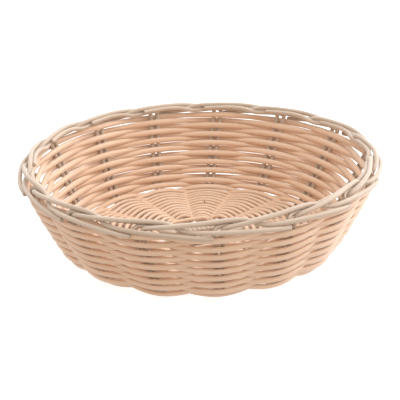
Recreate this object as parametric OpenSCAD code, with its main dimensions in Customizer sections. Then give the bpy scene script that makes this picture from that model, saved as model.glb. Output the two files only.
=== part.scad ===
// Round woven bread basket: paired stakes, plain weave and a border folded from the stakes' own ends.
// Frame: millimetres, +Z up, origin at the centre of the base, on the table.

/* [Basket] */
// Radius of the flat base, up to where the stakes turn upward
base_flat = 71.5; // [68:0.5:74]
// Height of the stakes' centreline above the table at the edge of the base
base_z = 4.2; // [4.2:0.1:5]
// How far the middle of the base is domed up
dome = 1; // [0.5:0.5:3]
// Bend radius of the stakes at the heel
heel_r = 9; // [8:0.5:12]
// Height of the top of the weave above the table
weave_top = 48.3; // [44:0.1:54]

/* [Stakes] */
// Diameter of a stake rod
stake_t = 2.6; // [2.2:0.1:2.6]
// Spacing of the two rods of a pair at the middle of the base
pair_inner = 2.7; // [2.7:0.1:2.9]
// Spacing of the two rods of a pair at the top of the wall
pair_outer = 4.4; // [3.6:0.1:4.8]
// Direction of the first stake pair at the middle of the base
first_stake = 281.5; // [270:0.5:294]
// How far a stake leans round the basket on its way to the top
lean = 6; // [0:0.5:8]

/* [Weavers] */
// Diameter of a wall weaver
weaver_t = 3; // [2.6:0.1:3]
// Diameter of a base weaver
base_weaver_t = 2.2; // [2:0.1:2.2]
// Rounds of weave on the wall
wall_rounds = 18; // [15:1:18]
// Rounds of weave on the base
base_rounds = 21; // [17:1:21]
// Number of strands that make the wall's weave
wall_strands = 6; // [4:1:8]
// Number of strands that make the base's weave
base_strands = 4; // [3:1:6]

/* [Hidden] */
// The stakes stand in pairs, one pair at each of these arms of the base's cross
arm_count = 15;
step_deg = 360 / arm_count;
stake_r = stake_t / 2;
weaver_r = weaver_t / 2;
base_weaver_r = base_weaver_t / 2;

// A stake's centreline from the side: the domed base, the heel's arc and the wall's long arc
wall_foot_deg = 60;
wall_top_deg = 67.5;
heel_len = heel_r * wall_foot_deg * PI / 180;
foot_r = base_flat + heel_r * sin(wall_foot_deg);
foot_z = base_z + heel_r * (1 - cos(wall_foot_deg));
wall_arc_r = (weave_top - foot_z) / (cos(wall_foot_deg) - cos(wall_top_deg));
wall_len = wall_arc_r * (wall_top_deg - wall_foot_deg) * PI / 180;
stake_len = base_flat + heel_len + wall_len;
top_r = foot_r + wall_arc_r * (sin(wall_top_deg) - sin(wall_foot_deg));

// The arms at which the weaves start, and where they start and end along a stake from the middle
base_first_arm = 0;
wall_first_arm = 1;
base_start = 24.5;
base_end = base_flat - 0.7;
wall_start = base_flat + 0.2;
wall_end = stake_len + 0.9;

// The ends of two strands meet behind a stake, this share of an arm's spacing apart
splice_gap = 0.012;
rod_sides = 5;
weaver_sides = 5;
base_weaver_sides = 4;
base_stops = 3;
heel_stops = 3;
wall_stops = 3;

// The cross of rods at the middle of the base: the radius at which its rods have fanned out, the
// spacing of its groups, half the length of its straight stretch and half the gap in its layers
fan_r = 19.5;
group_pitch = 5.3;
cross_half = 9.5;
layer_gap = 0.05;

// Each group of two rods in the cross: its arm, the arm it runs on to, and its place from 0 to 3.
// The group with no second arm ends inside the cross, which makes the number of arms odd.
none = -1;
upper_groups = [[14, 9, 0], [0, 8, 1], [1, none, 2], [2, 7, 3]];
lower_groups = [[3, 13, 0], [4, 12, 1], [5, 11, 2], [6, 10, 3]];
upper_turn = 12;
lower_turn = 102;

// The strand that binds the cross, squarish at first and round at the end. Its radius is given at
// its corners. It passes its groups of arms over or under: [first arm, last arm, 1 over or -1 under].
binder_start = 20.2;
binder_end = 22.3;
binder_rounds = 1;
binder_gap = 0.1;
binder_spans = [[-1, 2, 1], [3, 6, -1], [7, 9, 1], [10, 13, -1]];

// The border: each rod's way past the next stakes, as [stakes passed, outward, upward]
pair_half = pair_outer / 2 / (top_r * step_deg * PI / 180);
lead_way = [
    [pair_half, 0.6, 2.1], [0.075, 1, 3.3], [0.12, 1.5, 4.2], [0.2, 1.9, 4.9], [0.35, 2, 5.6],
    [0.55, 1.6, 6.4], [0.75, 0.8, 6.8], [1, -0.6, 7], [1.2, -1.3, 6.9], [1.35, -1.3, 6.2],
    [1.45, -0.6, 4.8], [1.55, 0.9, 3.5], [1.66, 2.4, 2.9], [1.78, 3.4, 2.9], [1.9, 4, 2.9],
    [2.1, 4.3, 2.6], [2.35, 4.5, 2], [2.55, 4.8, 1.4], [2.7, 4.9, 0.8], [2.82, 4.7, 0.2],
    [2.93, 4.4, -0.2]
];
tail_way = [
    [-pair_half, 0.6, 2.1], [-0.045, 0.2, 3.2], [-0.01, -0.7, 4.1], [0.05, -1.4, 4.3],
    [0.12, -1.6, 4.2], [0.22, -1.9, 3.9], [0.35, -2.5, 3.7], [0.45, -2.9, 4.3],
    [0.6, -1.9, 5.3], [0.8, -1.9, 5.6], [1, -2.7, 5.5], [1.1, -3, 5.4], [1.2, -3.4, 5.2]
];

function numbered(name, count) = [for (i = [1 : count]) str(name, i < 10 ? "_0" : "_", i)];

// Every group gives two rods: [group, which side of the group, is it in the upper layer]
rods = concat(
    [for (g = upper_groups, side = [1, -1]) [g, side, true]],
    [for (g = lower_groups, side = [1, -1]) [g, side, false]]
);
ROD_NODES = numbered("stake_rod", len(rods));
BASE_NODES = numbered("base_weaver", base_strands);
WALL_NODES = numbered("wall_weaver", wall_strands);

// ---- Geometry helpers ----

function unit(v) = v / norm(v);
function ring_point(radius, turn, z) = [radius * cos(turn), radius * sin(turn), z];

// The stake's profile at a distance along it from the middle: [radius, height, slope in degrees]
function heel_at(a) = [base_flat + heel_r * sin(a), base_z + heel_r * (1 - cos(a)), a];
function wall_at(a) = [
    foot_r + wall_arc_r * (sin(a) - sin(wall_foot_deg)),
    foot_z + wall_arc_r * (cos(wall_foot_deg) - cos(a)),
    a
];
function base_at(s) = [
    s,
    base_z + dome * (1 - pow(s / base_flat, 2)),
    -atan(2 * dome * s / pow(base_flat, 2))
];
function profile(s) =
    s < base_flat ? base_at(s)
    : s < base_flat + heel_len ? heel_at((s - base_flat) / heel_r * 180 / PI)
    : wall_at(wall_foot_deg + (s - base_flat - heel_len) / wall_arc_r * 180 / PI);

// A point beside the stakes: distance along, arms passed, and how far out of the stakes' surface
function woven_point(s, arms, out) =
    let (p = profile(s))
    ring_point(
        p[0] + out * sin(p[2]),
        first_stake + step_deg * arms - lean * s / stake_len,
        p[1] - out * cos(p[2])
    );

// Half the spacing of a pair's rods at a distance along the stake, in millimetres and in arms
function half_spread(s) = (pair_inner + (pair_outer - pair_inner) * s / stake_len) / 2;
function half_arms(s) = half_spread(s) / (profile(s)[0] * step_deg * PI / 180);

// Directions of a path at its points, and one side direction carried along it without twist
function directions(path) = [
    for (i = [0 : len(path) - 1])
        unit(path[min(i + 1, len(path) - 1)] - path[max(i - 1, 0)])
];
first_side = [0.1, 0.2, 1];
function square_to(v, direction) = unit(v - (v * direction) * direction);
function carried(ways) = [
    for (
        i = 0, side = square_to(first_side, ways[0]);
        i < len(ways);
        i = i + 1,
        side = i < len(ways) ? square_to(side, ways[i]) : side
    ) side
];

// A closed tube with flat ends along a path
module tube(path, radius, sides) {
    ways = directions(path);
    ups = carried(ways);
    points = [
        for (i = [0 : len(path) - 1], k = [0 : sides - 1])
            let (a = 360 * k / sides)
            path[i] + radius * (cos(a) * ups[i] + sin(a) * cross(ways[i], ups[i]))
    ];
    last = (len(path) - 1) * sides;
    faces = concat(
        [[for (k = [0 : sides - 1]) k]],
        [[for (k = [sides - 1 : -1 : 0]) last + k]],
        [
            for (i = [0 : len(path) - 2], k = [0 : sides - 1])
                let (a = i * sides + k, b = i * sides + (k + 1) % sides)
                each [[a, a + sides, b], [b, a + sides, b + sides]]
        ]
    );
    polyhedron(points, faces);
}

// ---- Stakes ----

// The distances along a stake at which its tube has a ring
stops = concat(
    [for (i = [0 : base_stops]) fan_r + (base_flat - fan_r) * i / base_stops],
    [for (i = [1 : heel_stops]) base_flat + heel_len * i / heel_stops],
    [for (i = [1 : wall_stops]) base_flat + heel_len + wall_len * i / wall_stops]
);

// One rod of a pair, from the cross out to the end of its border way
function arm_path(arm, side) = concat(
    [for (s = stops) woven_point(s, arm + side * half_arms(s), 0)],
    [
        for (p = side > 0 ? lead_way : tail_way)
            ring_point(
                top_r + p[1],
                first_stake - lean + step_deg * (arm + p[0]),
                weave_top + p[2]
            )
    ]
);

// The straight stretch of a rod through the cross, in its upper or lower layer
function cross_path(place, side, upper) =
    let (
        turn = first_stake + (upper ? upper_turn : lower_turn),
        along = [cos(turn), sin(turn), 0],
        beside = [-sin(turn), cos(turn), 0],
        off = (place - 1.5) * group_pitch + side * pair_inner / 2,
        z = base_z + dome + (upper ? 1 : -1) * (stake_r + layer_gap)
    )
    [for (u = [cross_half, 0, -cross_half]) u * along + off * beside + [0, 0, z]];

function reversed(list) = [for (i = [len(list) - 1 : -1 : 0]) list[i]];

module stake_rod(rod) {
    group = rod[0];
    side = rod[1];
    far = group[1] == none ? [] : arm_path(group[1], -side);
    path = concat(reversed(arm_path(group[0], side)), cross_path(group[2], side, rod[2]), far);
    color("burlywood") tube(path, stake_r, rod_sides);
}

// ---- Weavers ----

// Plain weave: outside every second pair of stakes, inside the others
function weave_side(arm) = arm % 2 == 0 ? 1 : -1;

// A strand of a spiral weave, from one arm to another, flat over each pair it passes. Its arms are
// counted from the arm at which the weave starts.
function strand_path(first, last, first_arm, start, pitch, radius) = [
    for (arm = [first : last], edge = [-1, 1])
        let (
            cut = (arm == first && edge < 0) || (arm == last && edge > 0),
            wide = cut ? -splice_gap : half_arms(start + pitch * arm / arm_count),
            at = arm + edge * wide
        )
        woven_point(
            start + pitch * at / arm_count, first_arm + at, weave_side(arm) * (stake_r + radius)
        )
];

// The arm at which a strand of the weave starts: the first, or one that it passes on the inside
function splice_arm(i, strands, arms) =
    i == 0 ? 0 : 2 * floor((floor(arms * i / strands) - 1) / 2) + 1;

module weave_strand(i, strands, rounds, first_arm, start, end, radius, sides) {
    arms = rounds * arm_count;
    pitch = (end - start) / rounds;
    first = splice_arm(i, strands, arms);
    last = splice_arm(i + 1, strands, arms);
    tube(strand_path(first, last, first_arm, start, pitch, radius), radius, sides);
}

module base_weaver(i) {
    color("wheat")
        weave_strand(
            i, base_strands, base_rounds, base_first_arm, base_start, base_end,
            base_weaver_r, base_weaver_sides
        );
}

module wall_weaver(i) {
    color("wheat")
        weave_strand(
            i, wall_strands, wall_rounds, wall_first_arm, wall_start, wall_end,
            weaver_r, weaver_sides
        );
}

// How far the rods of the cross's layers still are from the base's surface at a radius
function layer_lift(radius) =
    (stake_r + layer_gap) * max(0, min(1, (fan_r - radius) / (fan_r - cross_half)));

// A point of the binder beside an arm of one of its spans, after a share of its whole length
function binder_point(at, span, done) =
    let (
        corner = binder_start + (binder_end - binder_start) * done,
        half_span = step_deg * (span[1] - span[0] + 1) / 2,
        turn = step_deg * (at - (span[0] + span[1]) / 2),
        radius = corner * (done + (1 - done) * cos(half_span) / cos(turn)),
        reach = stake_r + base_weaver_r + binder_gap + layer_lift(radius)
    )
    ring_point(radius, first_stake + step_deg * at, base_at(radius)[1] + span[2] * reach);

module centre_binder() {
    arms = arm_count * binder_rounds;
    first = binder_spans[0][0] - 0.5;
    path = [
        for (
            round = [0 : binder_rounds - 1],
            span = binder_spans,
            arm = [span[0] : span[1]],
            edge = [-1, 1]
        )
            let (at = arm + edge / 3)
            binder_point(at, span, (arm_count * round + at - first) / arms)
    ];
    color("wheat") tube(path, base_weaver_r, base_weaver_sides);
}

for (i = [0 : len(rods) - 1])
    stake_rod(rods[i]);
centre_binder();
for (i = [0 : base_strands - 1])
    base_weaver(i);
for (i = [0 : wall_strands - 1])
    wall_weaver(i);
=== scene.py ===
import math
import random

import bmesh
import bpy
from bpy.props import FloatProperty, FloatVectorProperty, IntProperty, PointerProperty
from mathutils import Matrix, Vector


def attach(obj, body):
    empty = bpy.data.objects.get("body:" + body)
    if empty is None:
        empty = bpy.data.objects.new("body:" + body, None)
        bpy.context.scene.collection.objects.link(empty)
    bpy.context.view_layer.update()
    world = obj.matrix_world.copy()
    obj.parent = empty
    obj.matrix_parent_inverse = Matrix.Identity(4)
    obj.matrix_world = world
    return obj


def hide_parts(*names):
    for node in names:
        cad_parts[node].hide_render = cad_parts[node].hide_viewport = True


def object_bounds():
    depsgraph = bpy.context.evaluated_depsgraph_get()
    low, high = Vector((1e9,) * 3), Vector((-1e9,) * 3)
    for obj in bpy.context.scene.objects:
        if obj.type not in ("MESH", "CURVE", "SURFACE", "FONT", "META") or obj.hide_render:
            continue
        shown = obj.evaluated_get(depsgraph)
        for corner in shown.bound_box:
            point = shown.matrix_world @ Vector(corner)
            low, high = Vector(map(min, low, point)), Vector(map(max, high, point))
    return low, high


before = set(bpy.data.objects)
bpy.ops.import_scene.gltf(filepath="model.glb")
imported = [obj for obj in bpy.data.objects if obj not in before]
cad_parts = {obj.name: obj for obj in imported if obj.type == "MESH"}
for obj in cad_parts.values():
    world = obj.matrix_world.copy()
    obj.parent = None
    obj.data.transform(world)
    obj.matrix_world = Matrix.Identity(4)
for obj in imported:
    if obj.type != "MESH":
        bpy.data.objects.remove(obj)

bl_info = {
    "name": "Woven Bread Basket",
    "version": (1, 0),
    "blender": (4, 5, 0),
    "location": "3D View > Sidebar > Basket",
    "description": "Builds a round woven bread basket, strand by strand, around its packed frame",
    "category": "Object",
}

MM = 0.001
TAU = 2 * math.pi
CAD_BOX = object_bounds()
CAD_LOW, CAD_HIGH = CAD_BOX


def nodes_named(start):
    """The frame's nodes of one kind, in their order."""
    return sorted(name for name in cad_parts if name.startswith(start))


ROD_NODES = nodes_named("stake_rod")
WALL_NODES = nodes_named("wall_weaver")
BASE_NODES = nodes_named("base_weaver")

# The stakes stand in pairs at the arms of the base's cross
ARMS = 15
STEP = TAU / ARMS


# ---- Sizes and colours that a user may change ----


class BasketSizes(bpy.types.PropertyGroup):
    """Sizes of the strands and of the basket's outline."""

    stake: FloatProperty(
        name="Stake", description="Diameter of a stake rod",
        default=2.6 * MM, unit="LENGTH",
    )
    weaver: FloatProperty(
        name="Wall weaver", description="Diameter of a weaver in the wall",
        default=3.1 * MM, unit="LENGTH",
    )
    base_weaver: FloatProperty(
        name="Base weaver", description="Diameter of a weaver in the base",
        default=2.3 * MM, unit="LENGTH",
    )
    border_rise: FloatProperty(
        name="Border rise", description="Height of the border above the weave",
        default=8.7 * MM, unit="LENGTH",
    )
    base_flat: FloatProperty(
        name="Base radius", description="Radius at which the stakes turn up",
        default=71.5 * MM, unit="LENGTH",
    )
    base_z: FloatProperty(
        name="Base height", description="Height of the stakes' centreline at the edge of the base",
        default=4.2 * MM, unit="LENGTH",
    )
    heel: FloatProperty(
        name="Heel", description="Bend radius of the stakes where the base meets the wall",
        default=9 * MM, unit="LENGTH",
    )
    dome: FloatProperty(
        name="Dome", description="How far the middle of the base is raised",
        default=1 * MM, unit="LENGTH",
    )
    pair_inner: FloatProperty(
        name="Inner spacing", description="Spacing of a pair's rods at the middle of the base",
        default=2.7 * MM, unit="LENGTH",
    )
    pair_outer: FloatProperty(
        name="Outer spacing", description="Spacing of a pair's rods at the top of the wall",
        default=4.4 * MM, unit="LENGTH",
    )
    first_stake: FloatProperty(
        name="First stake", description="Direction of the first stake pair at the middle of the base",
        default=math.radians(281.5), unit="ROTATION",
    )
    lean: FloatProperty(
        name="Lean", description="How far a stake leans round the basket on its way up",
        default=math.radians(6), unit="ROTATION",
    )
    wall_rounds: IntProperty(
        name="Wall rounds", description="Rounds of weave on the wall", default=18,
    )
    base_rounds: IntProperty(
        name="Base rounds", description="Rounds of weave on the base", default=21,
    )


class BasketColours(bpy.types.PropertyGroup):
    """Colours of the strands and of the stage."""

    weaver_pale: FloatVectorProperty(
        name="Weaver, pale", description="Lightest tone of the weavers",
        default=(0.80, 0.575, 0.415), subtype="COLOR",
    )
    weaver_deep: FloatVectorProperty(
        name="Weaver, deep", description="Darkest tone of the weavers",
        default=(0.70, 0.44, 0.265), subtype="COLOR",
    )
    stake_pale: FloatVectorProperty(
        name="Stake, pale", description="Lightest tone of the stakes and the border",
        default=(0.60, 0.475, 0.365), subtype="COLOR",
    )
    stake_deep: FloatVectorProperty(
        name="Stake, deep", description="Darkest tone of the stakes and the border",
        default=(0.47, 0.345, 0.245), subtype="COLOR",
    )
    floor: FloatVectorProperty(
        name="Floor", description="Colour of the floor",
        default=(0.5, 0.5, 0.5), subtype="COLOR",
    )


# ---- The basket's outline ----

# Slope of the wall at its foot and at its top
WALL_FOOT = math.radians(60)
WALL_TOP = math.radians(67.5)

# The radius at which the base's weave starts, and how far the weaves' other ends lie from the
# edge of the base and from the top of the stakes' straight stretch
BASE_WEAVE_START = 24.5 * MM
BASE_WEAVE_STOP = -0.7 * MM
WALL_WEAVE_START = 0.2 * MM
WALL_WEAVE_STOP = 0.9 * MM

# The most that a stake's direction strays at the top, and the seed of the strays
SWAY_DEGREES = 0.6
SWAY_SEED = 4


class Outline:
    """Where the stakes and the rounds of weave lie, worked out from the sizes and the frame."""

    def __init__(self, sizes):
        self.sizes = sizes
        self.stake_r = sizes.stake / 2
        self.base_z = CAD_LOW[2] + sizes.base_z
        self.weave_top = CAD_HIGH[2] - sizes.border_rise
        self.heel_len = sizes.heel * WALL_FOOT
        self.foot_r = sizes.base_flat + sizes.heel * math.sin(WALL_FOOT)
        self.foot_z = self.base_z + sizes.heel * (1 - math.cos(WALL_FOOT))
        self.wall_arc = (self.weave_top - self.foot_z) / (math.cos(WALL_FOOT) - math.cos(WALL_TOP))
        self.length = sizes.base_flat + self.heel_len + self.wall_arc * (WALL_TOP - WALL_FOOT)
        self.top_r = self.foot_r + self.wall_arc * (math.sin(WALL_TOP) - math.sin(WALL_FOOT))
        self.base_start = BASE_WEAVE_START
        self.base_end = sizes.base_flat + BASE_WEAVE_STOP
        self.wall_start = sizes.base_flat + WALL_WEAVE_START
        self.wall_end = self.length + WALL_WEAVE_STOP
        rng = random.Random(SWAY_SEED)
        self.sway = [rng.uniform(-SWAY_DEGREES, SWAY_DEGREES) for _ in range(ARMS)]

    def profile(self, s):
        """Radius, height and slope of a stake at a distance along it from the middle."""
        flat = self.sizes.base_flat
        if s < flat:
            dome = self.sizes.dome
            return s, self.base_z + dome * (1 - (s / flat) ** 2), -math.atan(2 * dome * s / flat**2)
        turn = (s - flat) / self.sizes.heel
        if turn < WALL_FOOT:
            radius = flat + self.sizes.heel * math.sin(turn)
            return radius, self.base_z + self.sizes.heel * (1 - math.cos(turn)), turn
        turn = WALL_FOOT + (s - flat - self.heel_len) / self.wall_arc
        radius = self.foot_r + self.wall_arc * (math.sin(turn) - math.sin(WALL_FOOT))
        height = self.foot_z + self.wall_arc * (math.cos(WALL_FOOT) - math.cos(turn))
        return radius, height, turn

    def direction(self, arms, s):
        """The direction of a place, in arms from the first stake, with each stake's own small sway."""
        low = math.floor(arms)
        share = arms - low
        sway = self.sway[low % ARMS] * (1 - share) + self.sway[(low + 1) % ARMS] * share
        out = s / self.length
        upright = self.sizes.first_stake + STEP * arms
        return upright - self.sizes.lean * out + math.radians(sway) * out

    def place(self, s, arms, out=0.0):
        """A point beside the stakes, a distance out of their surface."""
        radius, height, slope = self.profile(s)
        radius += out * math.sin(slope)
        turn = self.direction(arms, s)
        return Vector((
            radius * math.cos(turn),
            radius * math.sin(turn),
            height - out * math.cos(slope),
        ))

    def outward(self, s, arms):
        """The direction out of the stakes' surface at a place."""
        slope = self.profile(s)[2]
        turn = self.direction(arms, s)
        return Vector((
            math.sin(slope) * math.cos(turn),
            math.sin(slope) * math.sin(turn),
            -math.cos(slope),
        ))

    def half_arms(self, s):
        """Half the spacing of a pair's rods at a distance along the stake, in arms."""
        sizes = self.sizes
        spread = sizes.pair_inner + (sizes.pair_outer - sizes.pair_inner) * s / self.length
        return spread / 2 / (self.profile(s)[0] * STEP)


# Parts that a smooth path has between two of its given points
PATH_PARTS = 4


def smooth_path(points, parts):
    """A curve through all the points, with the same number of parts between each two."""
    last = len(points) - 1
    path = []
    for i in range(last):
        a, b, c, d = (points[min(max(i + k, 0), last)] for k in (-1, 0, 1, 2))
        for j in range(parts):
            t = j / parts
            bend = 2 * a - 5 * b + 4 * c - d
            twist = 3 * b - a - 3 * c + d
            path.append(b + 0.5 * t * ((c - a) + t * (bend + t * twist)))
    path.append(points[last])
    return path


# ---- Strands as meshes ----

STRAND_UV = "strand"
UV_STRIDE = 5.0  # metres of pattern between one strand's start and the next one's
WELD = 0.001 * MM

# The rim's tilt and waves in millimetres, and its ovality as a share of the radius
TILT = 1.8
WAVE_ALONG = 0.6
WAVE_ACROSS = -0.7
OVALITY = 0.018


class Strand:
    """A strand's centreline, and where and how much it is pressed flat against what it crosses."""

    def __init__(self, points, outward=None, flat=None):
        self.points = points
        self.outward = outward
        self.flat = flat

    def pressed(self, ring, place):
        """A surface point of one ring, pressed towards the weave's surface and spread along it."""
        if self.flat is None:
            return place
        off = place - self.points[ring]
        through = self.outward[ring] * off.dot(self.outward[ring])
        along = off - through
        return self.points[ring] + through * (1 - self.flat[ring]) + along * (1 + self.flat[ring])


def settled(place):
    """Where a point of a regular basket lies in this one, whose rim is tilted and a little oval."""
    turn = math.atan2(place.y, place.x)
    rise = place.z / CAD_HIGH[2]
    waves = WAVE_ALONG * math.cos(2 * turn) + WAVE_ACROSS * math.sin(2 * turn)
    lift = TILT * math.cos(turn) + waves
    stretch = 1 + OVALITY * math.sin(2 * turn)
    return Vector((place.x * stretch, place.y * stretch, place.z + rise * lift * MM))


def strand_mesh(name, strand, radius, detail, serial):
    """A round closed strand. Its UV map holds metres along it, and the turn round it."""
    points = strand.points
    last = len(points) - 1
    curve = bpy.data.curves.new(name, "CURVE")
    curve.dimensions = "3D"
    curve.bevel_depth = radius
    curve.bevel_resolution = detail
    curve.use_fill_caps = True
    spline = curve.splines.new("POLY")
    spline.points.add(last)
    for point, place in zip(spline.points, points):
        point.co = (*place, 1)
    maker = bpy.data.objects.new(name, curve)
    mesh = bpy.data.meshes.new_from_object(maker)
    bpy.data.objects.remove(maker)
    bpy.data.curves.remove(curve)

    # The mesh starts with the cap at the end and the cap at the start, then has ring after ring
    sides = len(mesh.vertices) // (len(points) + 2)
    rings = [last, 0, *range(len(points))]
    for vertex in mesh.vertices:
        vertex.co = settled(strand.pressed(rings[vertex.index // sides], vertex.co))

    walked = [0.0]
    for here, there in zip(points, points[1:]):
        walked.append(walked[-1] + (there - here).length)
    layer = mesh.uv_layers[0]
    layer.name = STRAND_UV
    for corner in layer.data:
        at = corner.uv[0] * last
        low = min(int(at), last - 1)
        along = walked[low] + (at - low) * (walked[low + 1] - walked[low])
        corner.uv = (serial * UV_STRIDE + along, corner.uv[1])

    shell = bmesh.new()
    shell.from_mesh(mesh)
    bmesh.ops.remove_doubles(shell, verts=shell.verts, dist=WELD)
    bmesh.ops.recalc_face_normals(shell, faces=shell.faces)
    shell.to_mesh(mesh)
    shell.free()
    mesh.shade_smooth()
    return mesh


def add_strand(name, node, strand, radius, detail, serial, material):
    """Makes one strand's piece, which stands for its CAD node."""
    mesh = strand_mesh(name, strand, radius, detail, serial)
    mesh.materials.append(material)
    piece = bpy.data.objects.new(name, mesh)
    bpy.context.scene.collection.objects.link(piece)
    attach(piece, "root")
    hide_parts(node)
    return piece


# ---- Paths of the stakes ----

# The cross of rods at the middle of the base: [arm, the arm it runs on to, place across the cross].
# The group with no second arm ends inside the cross, which makes the number of arms odd.
UPPER_GROUPS = [(14, 9, 0), (0, 8, 1), (1, None, 2), (2, 7, 3)]
LOWER_GROUPS = [(3, 13, 0), (4, 12, 1), (5, 11, 2), (6, 10, 3)]
UPPER_TURN = math.radians(12)
LOWER_TURN = math.radians(102)
GROUP_PITCH = 5.3 * MM
CROSS_HALF = 9.5 * MM
LAYER_GAP = 0.05 * MM

# The radius at which the rods have fanned out, and the points of a rod on the base, heel and wall
FAN_RADIUS = 19.5 * MM
BASE_STOPS = 5
HEEL_STOPS = 5
WALL_STOPS = 6

# The border: each rod's way past the next stakes, as (stakes passed, outward, upward) in millimetres
LEAD_WAY = [
    (0.053, 0.6, 2.1), (0.075, 1, 3.3), (0.12, 1.5, 4.2), (0.2, 1.9, 4.9), (0.35, 2, 5.6),
    (0.55, 1.6, 6.4), (0.75, 0.8, 6.8), (1, -0.6, 7), (1.2, -1.3, 6.9), (1.35, -1.3, 6.2),
    (1.45, -0.6, 4.8), (1.55, 0.9, 3.5), (1.66, 2.4, 2.9), (1.78, 3.4, 2.9), (1.9, 4, 2.9),
    (2.1, 4.3, 2.6), (2.35, 4.5, 2), (2.55, 4.8, 1.4), (2.7, 4.9, 0.8), (2.82, 4.7, 0.2),
    (2.93, 4.4, -0.2),
]
TAIL_WAY = [
    (-0.053, 0.6, 2.1), (-0.045, 0.2, 3.2), (-0.01, -0.7, 4.1), (0.05, -1.4, 4.3),
    (0.12, -1.6, 4.2), (0.22, -1.9, 3.9), (0.35, -2.5, 3.7), (0.45, -2.9, 4.3), (0.6, -1.9, 5.3),
    (0.8, -1.9, 5.6), (1, -2.7, 5.5), (1.1, -3, 5.4), (1.2, -3.4, 5.2),
]


def ring_point(radius, turn, height):
    return Vector((radius * math.cos(turn), radius * math.sin(turn), height))


def arm_path(outline, arm, side):
    """One rod of a pair, from the cross out to the end of its border way."""
    flat = outline.sizes.base_flat
    foot = flat + outline.heel_len
    stops = [FAN_RADIUS + (flat - FAN_RADIUS) * i / BASE_STOPS for i in range(BASE_STOPS)]
    stops += [flat + outline.heel_len * i / HEEL_STOPS for i in range(HEEL_STOPS + 1)]
    stops += [foot + (outline.length - foot) * (i + 1) / WALL_STOPS for i in range(WALL_STOPS)]
    path = [outline.place(s, arm + side * outline.half_arms(s)) for s in stops]
    for passed, outward, upward in LEAD_WAY if side > 0 else TAIL_WAY:
        path.append(ring_point(
            outline.top_r + outward * MM,
            outline.direction(arm + passed, outline.length),
            outline.weave_top + upward * MM,
        ))
    return path


def cross_path(outline, place, side, upper):
    """The straight stretch of a rod through the cross, in its upper or lower layer."""
    turn = outline.sizes.first_stake + (UPPER_TURN if upper else LOWER_TURN)
    along = Vector((math.cos(turn), math.sin(turn), 0))
    beside = Vector((-math.sin(turn), math.cos(turn), 0))
    off = (place - 1.5) * GROUP_PITCH + side * outline.sizes.pair_inner / 2
    lift = outline.stake_r + LAYER_GAP
    height = outline.base_z + outline.sizes.dome + (lift if upper else -lift)
    return [u * along + off * beside + Vector((0, 0, height)) for u in (CROSS_HALF, 0, -CROSS_HALF)]


def rod_strands(outline):
    """Every rod, in the order of the frame's rod nodes."""
    rods = []
    for upper, groups in ((True, UPPER_GROUPS), (False, LOWER_GROUPS)):
        for arm, far, place in groups:
            for side in (1, -1):
                path = arm_path(outline, arm, side)[::-1] + cross_path(outline, place, side, upper)
                if far is not None:
                    path += arm_path(outline, far, -side)
                rods.append(Strand(smooth_path(path, PATH_PARTS)))
    return rods


# ---- Paths of the weavers ----


# The ends of two strands meet behind a stake, this share of an arm's spacing apart
SPLICE_GAP = 0.012

# How far the rounds drift up and down, as a share of their pitch, and their bulges grow and shrink
DRIFT = 0.12
SWELL = 0.06


def weave_wave(arms):
    """1 where the weave passes outside a stake pair, -1 where it passes inside."""
    return math.cos(math.pi * arms)


class Wander:
    """A slow, smooth, seeded drift along a strand, between -1 and 1."""

    def __init__(self, seed, knots):
        rng = random.Random(seed)
        self.knots = [rng.uniform(-1, 1) for _ in range(knots + 2)]

    def at(self, arms):
        low = math.floor(arms)
        share = arms - low
        ease = share * share * (3 - 2 * share)
        return self.knots[low] * (1 - ease) + self.knots[low + 1] * ease


def splice_arm(i, strands, arms):
    """The arm at which a strand starts: the first arm, or one the weave passes on the inside."""
    return 0 if i == 0 else 2 * ((arms * i // strands - 1) // 2) + 1


def weave_strands(outline, strands, rounds, first_arm, start, end, radius, flat, samples, seed):
    """The strands of one spiral weave, whose last round closes up to the end it runs towards.

    Each is pressed flat by a share where it crosses stakes, and has samples points for each arm.
    """
    arms = rounds * ARMS
    pitch = (end - start) / rounds
    reach = outline.stake_r + radius * (1 - flat)
    drift = Wander(seed, arms)
    swell = Wander(seed + 1, arms)
    made = []
    for i in range(strands):
        first = splice_arm(i, strands, arms) + SPLICE_GAP
        last = splice_arm(i + 1, strands, arms) - SPLICE_GAP
        count = round((last - first) * samples)
        points, outward, pressed = [], [], []
        for k in range(count + 1):
            at = first + (last - first) * k / count
            last_round = max(0, at / ARMS - rounds + 1)
            closing = last_round * (1 - last_round) / 2
            s = start + pitch * (at / ARMS + closing + DRIFT * drift.at(at))
            wave = weave_wave(at)
            arm = first_arm + at
            points.append(outline.place(s, arm, reach * wave * (1 + SWELL * swell.at(at))))
            outward.append(outline.outward(s, arm))
            pressed.append(flat * abs(wave))
        made.append(Strand(points, outward, pressed))
    return made


# The binder passes the cross's groups of arms over or under: (first arm, last arm, 1 over, -1 under)
BINDER_SPANS = ((-1, 2, 1), (3, 6, -1), (7, 9, 1), (10, 13, -1))
BINDER_START = 20.2 * MM
BINDER_END = 22.3 * MM
BINDER_GAP = 0.1 * MM


def binder_strand(outline, radius):
    """The strand that binds the cross in one round, squarish at first and round at the end."""
    first = BINDER_SPANS[0][0] - 0.5
    path = []
    for low, high, side in BINDER_SPANS:
        half_span = STEP * (high - low + 1) / 2
        for at in [arm + edge / 3 for arm in range(low, high + 1) for edge in (-1, 1)]:
            done = (at - first) / ARMS
            corner = BINDER_START + (BINDER_END - BINDER_START) * done
            turn = STEP * (at - (low + high) / 2)
            ring = corner * (done + (1 - done) * math.cos(half_span) / math.cos(turn))
            lift = max(0, min(1, (FAN_RADIUS - ring) / (FAN_RADIUS - CROSS_HALF)))
            reach = outline.stake_r * (1 + lift) + radius + BINDER_GAP
            height = outline.profile(ring)[1] + side * reach
            path.append(ring_point(ring, outline.direction(at, 0), height))
    return Strand(smooth_path(path, PATH_PARTS))


# ---- Materials ----


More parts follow.
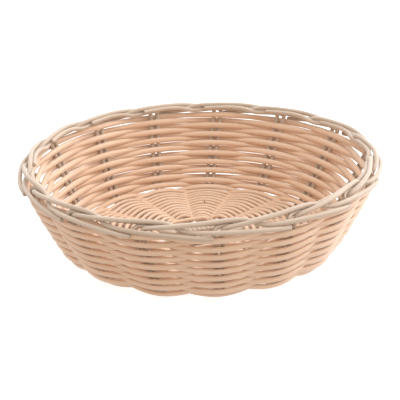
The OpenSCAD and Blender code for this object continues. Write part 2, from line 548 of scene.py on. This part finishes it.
class Value:
    """A number that varies over the surface. Python's operators on it add Math nodes."""

    def __init__(self, graph, socket):
        self.graph = graph
        self.socket = socket

    def maths(self, operation, *values):
        node = self.graph.node("ShaderNodeMath", {"operation": operation}, dict(enumerate(values)))
        return Value(self.graph, node.outputs[0])

    def __add__(self, other):
        return self.maths("ADD", self, other)

    def __sub__(self, other):
        return self.maths("SUBTRACT", self, other)

    def __rsub__(self, other):
        return self.maths("SUBTRACT", other, self)

    def __mul__(self, other):
        return self.maths("MULTIPLY", self, other)

    __radd__ = __add__
    __rmul__ = __mul__


class Graph:
    """A node tree under construction."""

    def __init__(self, tree):
        self.tree = tree
        self.tree.nodes.clear()

    def node(self, kind, settings=None, inputs=None):
        """Adds a node: its settings first, then the values or links of its sockets."""
        node = self.tree.nodes.new(kind)
        for name, setting in (settings or {}).items():
            setattr(node, name, setting)
        for key, given in (inputs or {}).items():
            if isinstance(given, Value):
                given = given.socket
            if isinstance(given, bpy.types.NodeSocket):
                self.tree.links.new(given, node.inputs[key])
            else:
                node.inputs[key].default_value = given
        return node

    def mix(self, factor, first, second):
        """A colour between two others."""
        mixer = self.node("ShaderNodeMix", {"data_type": "RGBA"}, {0: factor, 6: first, 7: second})
        return mixer.outputs[2]

    def noise(self, vector, scale, detail):
        """A cloud of numbers round one half."""
        node = self.node(
            "ShaderNodeTexNoise", {}, {"Vector": vector, "Scale": scale, "Detail": detail}
        )
        return Value(self, node.outputs["Fac"])


WHITE = (1, 1, 1)


def rgba(colour):
    return (*colour, 1.0)


def new_material(name):
    """A material and its empty node tree."""
    material = bpy.data.materials.new(name)
    material.use_nodes = True
    return material, Graph(material.node_tree)


# Roughness of the weavers and of the stakes
ROUGHNESS = {"weaver": 0.42, "stake": 0.45}


def strand_material(name, pale, deep, roughness):
    """A satin strand: slow changes of tone along it, and fine streaks drawn out lengthwise."""
    material, graph = new_material(name)
    uv = graph.node("ShaderNodeUVMap", {"uv_map": STRAND_UV})
    split = graph.node("ShaderNodeSeparateXYZ", {}, {0: uv.outputs[0]})
    along = Value(graph, split.outputs[0])
    turn = Value(graph, split.outputs[1]) * TAU
    across_x = turn.maths("COSINE", turn)
    across_y = turn.maths("SINE", turn)

    def wrapped(round_it, along_it):
        """Pattern coordinates that close round the strand."""
        return graph.node(
            "ShaderNodeCombineXYZ", {},
            {0: across_x * round_it, 1: across_y * round_it, 2: along * along_it},
        ).outputs[0]

    tone = graph.noise(wrapped(0.15, 14), 1, 2)
    streak = graph.noise(wrapped(3, 90), 1, 3)
    fleck = graph.noise(wrapped(1.2, 260), 1, 1)
    depth = (tone - 0.5) * 1.5 + (streak - 0.5) * 0.55 + 0.42
    depth = depth.maths("MINIMUM", depth.maths("MAXIMUM", depth, 0), 1)
    colour = graph.mix(depth, rgba(pale), rgba(deep))
    bump = graph.node(
        "ShaderNodeBump", {},
        {"Strength": 0.35, "Distance": 0.15 * MM, "Height": streak + 0.4 * fleck},
    )
    shader = graph.node(
        "ShaderNodeBsdfPrincipled", {},
        {
            "Base Color": colour,
            "Roughness": (streak - 0.5) * 0.2 + roughness,
            "Normal": bump.outputs[0],
            "IOR": 1.48,
            "Specular IOR Level": 0.85,
            "Sheen Weight": 0.7,
            "Sheen Roughness": 0.35,
        },
    )
    graph.node("ShaderNodeOutputMaterial", {}, {"Surface": shader.outputs[0]})
    return material


def floor_material(colour):
    """The pale floor, lit a little from inside so that it stays pale under the basket."""
    material, graph = new_material("floor_paper")
    shader = graph.node(
        "ShaderNodeBsdfPrincipled", {},
        {
            "Base Color": rgba(colour),
            "Roughness": 0.9,
            "Emission Color": rgba(WHITE),
            "Emission Strength": 0.75,
        },
    )
    graph.node("ShaderNodeOutputMaterial", {}, {"Surface": shader.outputs[0]})
    return material


# ---- Operators ----


# The directions of the studio's light: mostly from above, with a glow from behind on the right
ABOVE = (0.2, 0.4, 0.9)
GLOW = (0.7, 0.62, 0.35)
WARM_WHITE = (1, 0.9, 0.82)


def studio_world():
    """Soft light from all round, with a broad white glow low behind the basket on the right."""
    world = bpy.data.worlds.new("studio")
    world.use_nodes = True
    graph = Graph(world.node_tree)
    way = graph.node("ShaderNodeTexCoord").outputs["Generated"]

    def facing(direction):
        """How far a direction of light lies towards another: 1 the same way, -1 opposite."""
        dot = graph.node(
            "ShaderNodeVectorMath", {"operation": "DOT_PRODUCT"}, {0: way, 1: direction}
        )
        return Value(graph, dot.outputs["Value"])

    above = facing(ABOVE)
    glow = facing(GLOW)
    glow = glow.maths("POWER", glow.maths("MAXIMUM", glow, 0), 3)
    strength = above * 0.3 + 1.0 + glow * 1.5
    colour = graph.mix(above * 0.5 + 0.5, rgba(WARM_WHITE), rgba(WHITE))
    background = graph.node(
        "ShaderNodeBackground", {}, {"Color": colour, "Strength": strength}
    )
    graph.node("ShaderNodeOutputWorld", {}, {"Surface": background.outputs[0]})
    return world


def outline_now(context):
    return Outline(context.scene.basket_sizes)


def material_now(context, kind):
    """The material of the weavers or of the stakes, made once."""
    name = kind + "_strand"
    found = bpy.data.materials.get(name)
    if found:
        return found
    colours = context.scene.basket_colours
    pale = getattr(colours, kind + "_pale")
    deep = getattr(colours, kind + "_deep")
    return strand_material(name, pale, deep, ROUGHNESS[kind])


class BASKET_OT_rods(bpy.types.Operator):
    """Stake rods, each from one end of its border way through the base's cross to the other"""

    bl_idname = "basket.rods"
    bl_label = "Stake rods"

    def execute(self, context):
        outline = outline_now(context)
        material = material_now(context, "stake")
        rods = rod_strands(outline)
        if len(rods) != len(ROD_NODES):
            raise RuntimeError("the frame has another number of stake rods")
        for i, (node, rod) in enumerate(zip(ROD_NODES, rods)):
            add_strand(f"rod_{i + 1:02d}", node, rod, outline.stake_r, 3, i, material)
        return {"FINISHED"}


class BASKET_OT_binder(bpy.types.Operator):
    """The strand that binds the cross at the middle of the base"""

    bl_idname = "basket.binder"
    bl_label = "Centre binder"

    def execute(self, context):
        outline = outline_now(context)
        radius = context.scene.basket_sizes.base_weaver / 2
        binder = binder_strand(outline, radius)
        material = material_now(context, "weaver")
        add_strand("binder_strand", "centre_binder", binder, radius, 3, 50, material)
        return {"FINISHED"}


class BASKET_OT_base_weave(bpy.types.Operator):
    """The strands of the base's spiral weave"""

    bl_idname = "basket.base_weave"
    bl_label = "Base weave"

    def execute(self, context):
        outline = outline_now(context)
        sizes = context.scene.basket_sizes
        radius = sizes.base_weaver / 2
        material = material_now(context, "weaver")
        strands = weave_strands(
            outline, len(BASE_NODES), sizes.base_rounds, first_arm=0,
            start=outline.base_start, end=outline.base_end,
            radius=radius, flat=0.08, samples=8, seed=21,
        )
        for i, (node, strand) in enumerate(zip(BASE_NODES, strands)):
            add_strand(f"base_strand_{i + 1}", node, strand, radius, 2, 60 + i, material)
        return {"FINISHED"}


class BASKET_OT_wall_weave(bpy.types.Operator):
    """The strands of the wall's spiral weave"""

    bl_idname = "basket.wall_weave"
    bl_label = "Wall weave"

    def execute(self, context):
        outline = outline_now(context)
        sizes = context.scene.basket_sizes
        radius = sizes.weaver / 2
        material = material_now(context, "weaver")
        strands = weave_strands(
            outline, len(WALL_NODES), sizes.wall_rounds, first_arm=1,
            start=outline.wall_start, end=outline.wall_end,
            radius=radius, flat=0.17, samples=12, seed=11,
        )
        for i, (node, strand) in enumerate(zip(WALL_NODES, strands)):
            add_strand(f"wall_strand_{i + 1}", node, strand, radius, 4, 80 + i, material)
        return {"FINISHED"}


FLOOR_HALF = 4.0

# The camera: focal length in millimetres, elevation, distance in basket radii, and where it aims
# from the middle of the basket
CAMERA_LENS = 129.6
CAMERA_RISE = math.radians(21.8)
CAMERA_REACH = 8
CAMERA_AIM = Vector((-0.5 * MM, 0, -0.6 * MM))


def aimed_from(place, target):
    """The matrix of a camera or lamp at a place, looking at a target."""
    look = (target - place).to_track_quat("-Z", "Y").to_matrix().to_4x4()
    return Matrix.Translation(place) @ look


def add_lamp(name, place, target, width, watts, colour):
    """A soft square lamp."""
    data = bpy.data.lights.new(name, "AREA")
    data.size = width
    data.energy = watts
    data.color = colour
    lamp = bpy.data.objects.new(name, data)
    lamp.matrix_world = aimed_from(place, target)
    bpy.context.scene.collection.objects.link(lamp)


class BASKET_OT_stage(bpy.types.Operator):
    """The floor, the soft lights and the camera"""

    bl_idname = "basket.stage"
    bl_label = "Stage"

    def execute(self, context):
        sheet = bmesh.new()
        bmesh.ops.create_grid(sheet, x_segments=1, y_segments=1, size=FLOOR_HALF)
        mesh = bpy.data.meshes.new("floor")
        sheet.to_mesh(mesh)
        sheet.free()
        mesh.materials.append(floor_material(context.scene.basket_colours.floor))
        floor = bpy.data.objects.new("floor", mesh)
        floor.location.z = CAD_LOW[2]
        floor.visible_diffuse = False
        floor.visible_glossy = False
        context.scene.collection.objects.link(floor)

        middle = Vector((0, 0, (CAD_LOW[2] + CAD_HIGH[2]) / 2))
        add_lamp("side_lamp", Vector((1.2, 0.1, 0.5)), middle, 1.0, 3, (1, 0.99, 0.98))
        add_lamp("top_lamp", Vector((-0.2, 0.25, 1.2)), middle, 1.4, 1, WHITE)

        context.scene.world = studio_world()
        context.scene.view_settings.view_transform = "Standard"

        data = bpy.data.cameras.new("camera")
        data.sensor_width = 36
        data.lens = CAMERA_LENS
        camera = bpy.data.objects.new("camera", data)
        reach = CAMERA_REACH * (CAD_HIGH[0] - CAD_LOW[0]) / 2
        target = middle + CAMERA_AIM
        back = Vector((0, -math.cos(CAMERA_RISE), math.sin(CAMERA_RISE)))
        camera.matrix_world = aimed_from(target + reach * back, target)
        context.scene.collection.objects.link(camera)
        context.scene.camera = camera
        return {"FINISHED"}


STEPS = (
    BASKET_OT_rods,
    BASKET_OT_binder,
    BASKET_OT_base_weave,
    BASKET_OT_wall_weave,
    BASKET_OT_stage,
)


class BASKET_PT_build(bpy.types.Panel):
    """Lists the steps that build the basket"""

    bl_idname = "BASKET_PT_build"
    bl_label = "Bread basket"
    bl_space_type = "VIEW_3D"
    bl_region_type = "UI"
    bl_category = "Basket"

    def draw(self, context):
        for step in STEPS:
            self.layout.operator(step.bl_idname)
        for group in (context.scene.basket_sizes, context.scene.basket_colours):
            for name in group.__annotations__:
                self.layout.prop(group, name)


CLASSES = (BasketSizes, BasketColours, *STEPS, BASKET_PT_build)


def register():
    for cls in CLASSES:
        bpy.utils.register_class(cls)
    bpy.types.Scene.basket_sizes = PointerProperty(type=BasketSizes)
    bpy.types.Scene.basket_colours = PointerProperty(type=BasketColours)


def unregister():
    del bpy.types.Scene.basket_colours
    del bpy.types.Scene.basket_sizes
    for cls in reversed(CLASSES):
        bpy.utils.unregister_class(cls)


def main():
    """Builds the basket and its stage."""
    register()
    bpy.ops.basket.rods()
    bpy.ops.basket.binder()
    bpy.ops.basket.base_weave()
    bpy.ops.basket.wall_weave()
    bpy.ops.basket.stage()


if __name__ == "__main__":
    main()
